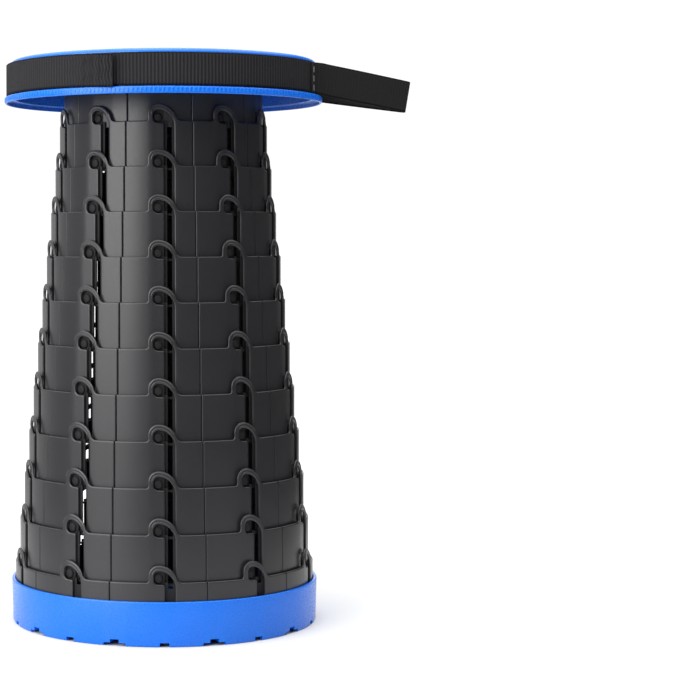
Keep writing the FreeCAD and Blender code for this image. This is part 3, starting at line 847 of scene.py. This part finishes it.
class STOOL_OT_seat_lid(bpy.types.Operator):
    """Makes the blue seat with its strap channel, ribbed rim and ribbed underside"""

    bl_idname = "stool.seat_lid"
    bl_label = "Seat lid"

    def execute(self, context):
        sizes = context.scene.stool_lid
        finish = moulded_plastic("blue")
        height, skirt, rim = sizes.height, sizes.skirt, sizes.rim
        crown, shoulder = 2.3 * MM, 3.4 * MM
        edge = skirt + 0.7 * MM
        strap_top = height - crown - shoulder
        strap_bottom = strap_top - sizes.strap_width - 0.6 * MM
        rim_bottom = strap_bottom - 5.2 * MM
        underside = height - crown - 1.8 * MM
        wall = 1.6 * MM
        inner = skirt - 2.2 * MM
        flat = edge - shoulder
        profile = [(share * flat, height - crown * share ** 2)
                   for share in (0, 0.2, 0.4, 0.6, 0.75, 0.88)]
        profile += arc(flat, strap_top, shoulder, 88, 0, 8)
        profile += rounded([
            (edge, strap_top, 0),
            (skirt, strap_top, 0.2 * MM),
            (skirt, strap_bottom, 0.4 * MM),
            (rim, strap_bottom, 0.9 * MM),
            (rim, rim_bottom, 0.8 * MM),
            (rim - wall, rim_bottom, 0.5 * MM),
            (rim - wall, strap_bottom - wall, 0.6 * MM),
            (inner, strap_bottom - wall, 0.8 * MM),
            (inner, underside, 1.2 * MM),
            (0, underside, 0),
        ])[1:]
        shell = gather("lid_shell", [lathe(profile, even_angles(240))])
        half_tooth, half_web, rounding = 0.9 * MM, 1.0 * MM, 0.3 * MM
        tooth = gather("rim_tooth", [bar(
            (rim - 0.5 * MM, -half_tooth, rim_bottom + 1.1 * MM),
            (rim + 0.35 * MM, half_tooth, strap_bottom - 0.9 * MM), rounding)])
        teeth = repeat(tooth, sizes.rim_ribs, math.tau / sizes.rim_ribs, finish)
        rooted = underside + 0.5 * MM
        web = gather("lid_rib", [bar(
            (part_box("ring_01")[1][0], -half_web, underside - 2.0 * MM),
            (inner + 1.0 * MM, half_web, rooted), rounding)])
        columns = context.scene.stool_rings.columns
        webs = repeat(web, columns, math.tau / columns, finish)
        boss, boss_end = 4.2 * MM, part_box("ring_00")[1][2] - BOSS
        line = [(0, rooted), (boss, rooted), (boss, boss_end), (0, boss_end)]
        bosses = round_the_flange("lid_boss", line, 16, 0, finish)
        mesh = join("seat_lid_moulding", [shell, teeth, webs, bosses])
        make_piece("seat_lid_moulding", mesh, finish, "lid", ["seat_lid"])
        return {"FINISHED"}


# Tray

class STOOL_OT_base_tray(bpy.types.Operator):
    """Makes the blue tray with its notched foot and ribbed underside"""

    bl_idname = "stool.base_tray"
    bl_label = "Base tray"

    def execute(self, context):
        sizes = context.scene.stool_tray
        columns = context.scene.stool_rings.columns
        finish = moulded_plastic("blue")
        top, radius = sizes.height, sizes.radius
        foot = radius - sizes.taper
        inner = foot - 3.4 * MM
        floor_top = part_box("ring_11")[0][2]
        floor_under = floor_top - 2.6 * MM
        bore = context.scene.stool_rings.radius + 0.3 * MM
        hub, deep = 22.0 * MM, 16.0 * MM
        profile = rounded([
            (0, 0, 0),
            (hub, 0, 0.6 * MM),
            (hub, floor_under, 0.6 * MM),
            (inner - deep, floor_under, 0),
            (inner, floor_under, 0.8 * MM),
            (inner, 0, 0.4 * MM),
            (foot, 0, 1.2 * MM),
            (radius, top, 0.8 * MM),
            (bore, top, 0.7 * MM),
            (bore, floor_top, 0.8 * MM),
            (0, floor_top, 0),
        ])[::-1]
        notches = []
        for index in range(columns):
            column = -math.pi / 2 + math.tau * index / columns
            between = column + math.pi / columns
            notches.append((column, sizes.notch / 2 / foot, sizes.notch_rise))
            notches.append((between, sizes.arch / 2 / foot, sizes.arch_rise))
            notches.append((between, sizes.notch / 2 / foot, sizes.core_rise))
        # Each side of a notch is steep: two angles this far apart.
        angles = set(even_angles(240))
        sharp = 0.0002
        for middle, half, _ in notches:
            for side in (-half - sharp, -half, half, half + sharp):
                angles.add((middle + side) % math.tau)

        def lift(angle, spot, height):
            if spot < inner - deep - 0.1 * MM:
                return height
            for middle, half, rise in notches:
                away = abs((angle - middle + math.pi) % math.tau - math.pi)
                if away <= half + 1e-6 and height < rise:
                    height = rise
            return height

        shell = gather("tray_shell", [lathe(profile, sorted(angles), lift)])
        half_rib = 1.0 * MM
        rib = gather("tray_rib", [bar(
            (hub - 1.0 * MM, -half_rib, 0.0),
            (inner - 14.0 * MM, half_rib, floor_under + 0.5 * MM), 0.3 * MM)])
        ribs = repeat(rib, columns, math.tau / columns, finish)
        mesh = join("base_tray_moulding", [shell, ribs])
        make_piece(
            "base_tray_moulding", mesh, finish, "base", ["base_tray"], sharp=35)
        return {"FINISHED"}


# Webbing

def strap_levels(sizes):
    """The middle height of the webbing and the radius of its inner face."""
    low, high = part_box("strap")
    return (low[2] + high[2]) / 2 - 0.3 * MM, sizes.skirt + 0.3 * MM


class STOOL_OT_strap(bpy.types.Operator):
    """Makes the webbing band in the lid's channel and its tail, which lies double"""

    bl_idname = "stool.strap"
    bl_label = "Strap"

    def execute(self, context):
        sizes = context.scene.stool_lid
        # Between the ribs the webbing takes 0.4 of its colour: painted shade in the grooves.
        finish = woven_webbing("woven_polypropylene_webbing", 0.4, 1.0, 0.5)
        level, inside_radius = strap_levels(sizes)
        up = Vector((0, 0, 1))
        thick = sizes.strap_thickness
        per_rib = 4

        def round_the_lid(name, radius, end, lift, slack):
            """Webbing round the lid from its free end, where it stands off and sags a little."""
            count = round(end * radius / sizes.rib) * per_rib
            places, loose = [], []
            for index in range(count):
                turn = end - end * index / count
                outward = Vector((math.cos(turn), math.sin(turn), 0))
                free = max(0.0, 1 - (end - turn) / sizes.tail_lift) if lift else 0.0
                swell = lift * free ** 2 + slack * max(0.0, -math.cos(turn)) ** 3
                sag = 0.3 * lift * free ** 2
                places.append((outward * (radius + swell) + up * (level - sag), outward, up))
                loose.append(min(1.0, 2 * free))

            def ribs(index, height):
                """Weft ribs, which stand out further and bend where the webbing is loose."""
                bend = 0.25 * loose[index] * math.sin(height / (1.9 * MM) + index * 0.1)
                relief = (0.22 + 0.35 * loose[index]) * MM
                return -relief * math.cos(math.tau * (index / per_rib + bend)), bend * sizes.rib

            return ribbon(name, places, sizes.strap_width, thick * 0.9, not lift, ribs)

        band, band_length = round_the_lid(
            "strap_band", inside_radius + thick / 2, math.tau, 0.0, 0.0)
        tail, tail_length = round_the_lid(
            "strap_tail", inside_radius + thick * 1.5, sizes.tail, 4.5 * MM, 1.0 * MM)
        mesh = join("strap_webbing", [band, tail])
        piece = make_piece("strap_webbing", mesh, finish, "lid", ["strap"])
        return {"FINISHED"}


class STOOL_OT_carry_loop(bpy.types.Operator):
    """Makes the folded webbing loop at the side of the lid"""

    bl_idname = "stool.carry_loop"
    bl_label = "Carry loop"

    def execute(self, context):
        sizes = context.scene.stool_lid
        # The loop's webbing is the strap's, drawn darker with a face share of 0.62: a shaded copy,
        # painted shade. Its ribs are flatter too.
        finish = woven_webbing("woven_polypropylene_webbing_painted_shade", 0.5, 0.62, 0.2)
        level, inside_radius = strap_levels(sizes)
        level -= 0.5 * MM
        thick = sizes.strap_thickness
        fold = 5.0 * MM + thick / 2
        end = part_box("carry_loop")[1][0] - fold - thick / 2
        # Each side is sewn to the strap, bends away from it and bulges on its way to the fold.
        sewn, leaving = 0.38, 0.315
        steps, bulging = 16, 1.5 * MM
        sides = []
        for layers in (1, 2):
            lie = inside_radius + thick * (layers + 0.52)
            start, bend = (
                Vector((math.cos(turn), -math.sin(turn))) * lie for turn in (sewn, leaving))
            slope = math.atan2(-bend.y - fold, end - bend.x)
            leave = Vector((end + fold * math.sin(slope), -fold * math.cos(slope)))
            line = rounded([(*start, 0), (*bend, 3.0 * MM), (*leave, 0)])
            run_out = [Vector(line[-2]).lerp(leave, step / steps) for step in range(1, steps)]
            bulge = Vector((math.sin(slope), -math.cos(slope))) * bulging
            line[-1:-1] = [tuple(spot + bulge * math.sin(math.pi * step / steps))
                           for step, spot in enumerate(run_out, 1)]
            sides.append((line, math.degrees(slope)))
        (front, turn), (back, back_turn) = sides
        line = [Vector(spot) for spot in front]
        line += [Vector(spot) for spot in arc(end, 0, fold, turn - 90, 90 - back_turn, 12)[1:-1]]
        line += [Vector((x, -y)) for x, y in back[::-1]]
        # The loop droops from its hinge on.
        hinge, bending, drooping = 121.0 * MM, 6.0 * MM, math.radians(9.5)
        places = []
        for index, spot in enumerate(line):
            before, after = line[max(index - 1, 0)], line[min(index + 1, len(line) - 1)]
            along = (after - before).normalized()
            reach = max(spot.x - hinge, 0.0)
            droop = drooping * min(reach / bending, 1.0)
            tip = Matrix.Rotation(droop, 3, "Y")
            point = Vector((spot.x, spot.y, level - reach * math.sin(droop)))
            places.append((point, tip @ Vector((along.y, -along.x, 0)), tip @ Vector((0, 0, 1))))
        mesh, run = ribbon("carry_loop_webbing", places, sizes.strap_width, thick, False,
                           lambda index, height: (0.0, 0.0))
        piece = make_piece("carry_loop_webbing", mesh, finish, "lid", ["carry_loop"])
        return {"FINISHED"}


class STOOL_OT_stitches(bpy.types.Operator):
    """Makes the rows of stitches where the loop is sewn to the strap"""

    bl_idname = "stool.stitches"
    bl_label = "Stitches"

    def execute(self, context):
        sizes = context.scene.stool_lid
        finish = spun_thread(context.scene.stool_colours)
        level, inside_radius = strap_levels(sizes)
        thick = sizes.strap_thickness
        seam, pitch, per_row = 0.335, 7.2 * MM, 3
        margin, long, half = 2.0 * MM, 4.6 * MM, 0.3 * MM
        shape, faces = bar((-half / 2, -half, 0), (half, half, long), half / 2)
        rows = []
        for side, layers in ((-seam, 2), (seam, 3)):
            radius = inside_radius + thick * layers
            turn = Matrix.Rotation(side, 3, "Z")
            outward = turn @ Vector((radius, 0, level - sizes.strap_width / 2 + margin))
            points = [tuple(turn @ Vector(point) + outward) for point in shape]
            stitch = gather("stitch", [(points, faces)])
            rows.append(repeat(stitch, per_row, 0.0, finish, (0, 0, pitch)))
        make_piece("loop_stitches", join("loop_stitches", rows), finish, "lid")
        return {"FINISHED"}


class STOOL_OT_strap_slider(bpy.types.Operator):
    """Makes the moulded slider on the strap"""

    bl_idname = "stool.strap_slider"
    bl_label = "Strap slider"

    def execute(self, context):
        finish = moulded_plastic("slider")
        sizes = context.scene.stool_lid
        low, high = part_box("strap_slider")
        level = (low[2] + high[2]) / 2
        half_height = (high[2] - low[2]) / 2
        half_width = 14.0 * MM
        bar_width = 4.2 * MM
        rounding = 9.0 * MM
        outline = [(-half_width, level - half_height)]
        outline += arc(half_width - rounding, level - half_height + rounding, rounding, 270, 360, 8)
        outline += arc(half_width - rounding, level + half_height - rounding, rounding, 0, 90, 8)
        outline.append((-half_width, level + half_height))
        opening = half_height - bar_width / 2
        narrow = -half_width + bar_width
        wide = narrow + bar_width * 2
        slot = [(narrow, level - opening), (narrow, level + opening),
                (narrow + bar_width, level + opening), (narrow + bar_width, level - opening)]
        inner = rounding - bar_width
        bow = [(wide, level - opening), (wide, level + opening)]
        bend = half_width - bar_width - inner
        bow += arc(bend, level + opening - inner, inner, 90, 0, 6)
        bow += arc(bend, level - opening + inner, inner, 0, -90, 6)
        thickness, edge, play = 3.4 * MM, 0.6 * MM, 0.3 * MM
        points, faces = plate([outline, slot, bow], thickness, thickness, edge)
        radius = strap_levels(sizes)[1] + sizes.strap_thickness * 2 + play
        turn = Matrix.Rotation(math.radians(41), 3, "Z")
        places = [tuple(turn @ Vector((radius + out, right, up))) for right, up, out in points]
        mesh = gather("strap_slider_moulding", [(places, faces)])
        make_piece("strap_slider_moulding", mesh, finish, "lid", ["strap_slider"])
        return {"FINISHED"}


# Screws

class STOOL_OT_screws(bpy.types.Operator):
    """Makes the screws that hold the first ring to the lid and the last to the tray"""

    bl_idname = "stool.screws"
    bl_label = "Screws"

    def execute(self, context):
        sizes = context.scene.stool_rings
        finish = plated_steel(context.scene.stool_colours)
        head, tall, shank = 3.2 * MM, 1.9 * MM, 1.5 * MM
        recess = 0.7 * MM
        for number in (0, sizes.rings - 1):
            body = ring_body(sizes, number)
            node = f"{body}_screws"
            low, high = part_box(node)
            long = high[2] - low[2]
            line = [(0.0, recess), (1.3 * MM, recess), (1.6 * MM, 0.0), (head - 0.7 * MM, 0.0),
                    (head - 0.2 * MM, 0.5 * MM), (head, tall), (shank, tall), (shank, long),
                    (0.0, long)]
            profile = [(radius, low[2] + up) for radius, up in line[::-1]]
            mesh = round_the_flange(node, profile, 18, number, finish)
            make_piece(f"{node}_turned", mesh, finish, body, [node], sharp=40)
        return {"FINISHED"}


# Stage

def area_light(name, place, aim, size, power):
    light = bpy.data.lights.new(name, "AREA")
    light.shape = "RECTANGLE"
    light.size, light.size_y = size
    light.energy = power
    lamp = bpy.data.objects.new(name, light)
    lamp.location = place
    lamp.rotation_euler = (Vector(aim) - Vector(place)).to_track_quat("-Z", "Y").to_euler()
    bpy.context.collection.objects.link(lamp)


class STOOL_OT_stage(bpy.types.Operator):
    """Sets up the floor, the soft studio light and the camera"""

    bl_idname = "stool.stage"
    bl_label = "Stage"

    def execute(self, context):
        scene = context.scene
        # A matt painted floor: no gloss to speak of, with a faint grain of 4 mm
        finish, tree = new_finish("matt_studio_floor")
        place = add_node(tree, "ShaderNodeTexCoord").outputs["Object"]
        grain = add_node(tree, "ShaderNodeTexNoise", {"Vector": place, "Scale": 1 / (4 * MM)})
        rough = add_node(tree, "ShaderNodeMapRange", {
            "Value": grain.outputs["Fac"], "To Min": 0.85, "To Max": 0.95})
        shader = add_node(tree, "ShaderNodeBsdfPrincipled", {
            "Base Color": scene.stool_colours.floor, "Roughness": rough.outputs[0]})
        add_node(tree, "ShaderNodeOutputMaterial", {"Surface": shader.outputs[0]})
        # The stool's gloss shows the floor close to it, and beyond that the dim room.
        near, far = 0.45, 40.0
        corners = [(x * reach, y * reach, 0) for reach in (near, far)
                   for x, y in ((-1, -1), (1, -1), (1, 1), (-1, 1))]
        around = [(side, side + 4, (side + 1) % 4 + 4, (side + 1) % 4) for side in range(4)]
        for name, faces in (("studio_floor", [(0, 1, 2, 3)]), ("studio_floor_around", around)):
            mesh = gather(name, [(corners, faces)])
            mesh.materials.append(finish)
            floor = bpy.data.objects.new(name, mesh)
            floor.visible_glossy = faces is not around
            context.collection.objects.link(floor)

        world = bpy.data.worlds.new("studio")
        world.use_nodes = True
        tree = world.node_tree
        tree.nodes.clear()
        facing = add_node(tree, "ShaderNodeTexCoord").outputs["Generated"]
        parts = add_node(tree, "ShaderNodeSeparateXYZ", {0: facing}).outputs
        left = add_node(tree, "ShaderNodeVectorMath", {
            0: facing, 1: (-0.42, 0.907, 0.0)}, operation="DOT_PRODUCT")
        flat = add_node(tree, "ShaderNodeVectorMath", {
            0: facing, 1: (1.0, 1.0, 0.45)}, operation="MULTIPLY")
        level = add_node(tree, "ShaderNodeVectorMath", {0: flat.outputs[0]}, operation="NORMALIZE")
        behind = add_node(tree, "ShaderNodeVectorMath", {
            0: level.outputs[0], 1: (0.09, 0.996, 0.0)}, operation="DOT_PRODUCT")
        # Dim on the right and brighter on the far left, with a white screen behind the stool, which
        # brightens as it rises, and white overhead
        light = {}
        for name, value, start, end, dim, bright in (
                ("side", parts["X"], -1.0, 0.3, 0.28, 0.085),
                ("far_left", left.outputs["Value"], 0.574, 0.95, 0.0, 0.6),
                ("back", behind.outputs["Value"], 0.955, 0.975, 0.0, 1.0),
                ("rise", parts["Z"], 0.12, 0.25, 1.05, 2.2),
                ("high", parts["Z"], 0.45, 0.8, 0.0, 3.0)):
            light[name] = add_node(tree, "ShaderNodeMapRange", {
                "Value": value, "From Min": start, "From Max": end, "To Min": dim,
                "To Max": bright}).outputs[0]
        for name, first, second, operation in (
                ("screen", "back", "rise", "MULTIPLY"), ("room", "side", "far_left", "ADD"),
                ("wall", "room", "screen", "MAXIMUM"), ("sky", "wall", "high", "ADD")):
            light[name] = add_node(tree, "ShaderNodeMath", {
                0: light[first], 1: light[second]}, operation=operation).outputs[0]
        glow = add_node(tree, "ShaderNodeBackground", {
            "Color": (1, 1, 1, 1), "Strength": light["sky"]})
        add_node(tree, "ShaderNodeOutputWorld", {"Surface": glow.outputs[0]})
        scene.world = world
        scene.view_settings.view_transform = "Standard"

        area_light("key", (-1.49, -1.34, 0.8), (0, 0, 0.25), (1.9, 1.6), 50)
        area_light("top", (-0.1, -0.2, 2.2), (0, 0, 0), (0.8, 0.8), 8)

        camera = bpy.data.cameras.new("camera")
        camera.lens = 99.25
        camera.sensor_width = 36.0
        camera.shift_x = 0.2662
        camera.shift_y = -0.1597
        eye = bpy.data.objects.new("camera", camera)
        eye.location = (0.0, -1.5615, 0.3054)
        eye.rotation_euler = (math.radians(90), math.radians(0.12), 0)
        context.collection.objects.link(eye)
        scene.camera = eye
        return {"FINISHED"}


class STOOL_PT_panel(bpy.types.Panel):
    """Lists the stool's sizes, colours and pieces"""

    bl_idname = "STOOL_PT_panel"
    bl_label = "Camping stool"
    bl_space_type = "VIEW_3D"
    bl_region_type = "UI"
    bl_category = "Stool"

    def draw(self, context):
        layout = self.layout
        for pointer, kind in GROUPS:
            box = layout.box()
            for name in kind.__annotations__:
                box.prop(getattr(context.scene, pointer), name)
        for operator in OPERATORS:
            layout.operator(operator.bl_idname)


GROUPS = (
    ("stool_rings", StoolRingSizes),
    ("stool_lid", StoolLidSizes),
    ("stool_tray", StoolTraySizes),
    ("stool_colours", StoolColours),
)
OPERATORS = (
    STOOL_OT_rings, STOOL_OT_guides, STOOL_OT_seat_lid, STOOL_OT_base_tray, STOOL_OT_strap,
    STOOL_OT_carry_loop, STOOL_OT_stitches, STOOL_OT_strap_slider, STOOL_OT_screws, STOOL_OT_stage)


def register():
    for name, group in GROUPS:
        bpy.utils.register_class(group)
        setattr(bpy.types.Scene, name, bpy.props.PointerProperty(type=group))
    for item in OPERATORS + (STOOL_PT_panel,):
        bpy.utils.register_class(item)


def unregister():
    for item in reversed(OPERATORS + (STOOL_PT_panel,)):
        bpy.utils.unregister_class(item)
    for name, group in reversed(GROUPS):
        delattr(bpy.types.Scene, name)
        bpy.utils.unregister_class(group)


def main():
    register()
    bpy.ops.stool.rings()
    bpy.ops.stool.guides()
    bpy.ops.stool.seat_lid()
    bpy.ops.stool.base_tray()
    bpy.ops.stool.strap()
    bpy.ops.stool.carry_loop()
    bpy.ops.stool.stitches()
    bpy.ops.stool.strap_slider()
    bpy.ops.stool.screws()
    bpy.ops.stool.stage()
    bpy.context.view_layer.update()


if __name__ == "__main__":
    main()
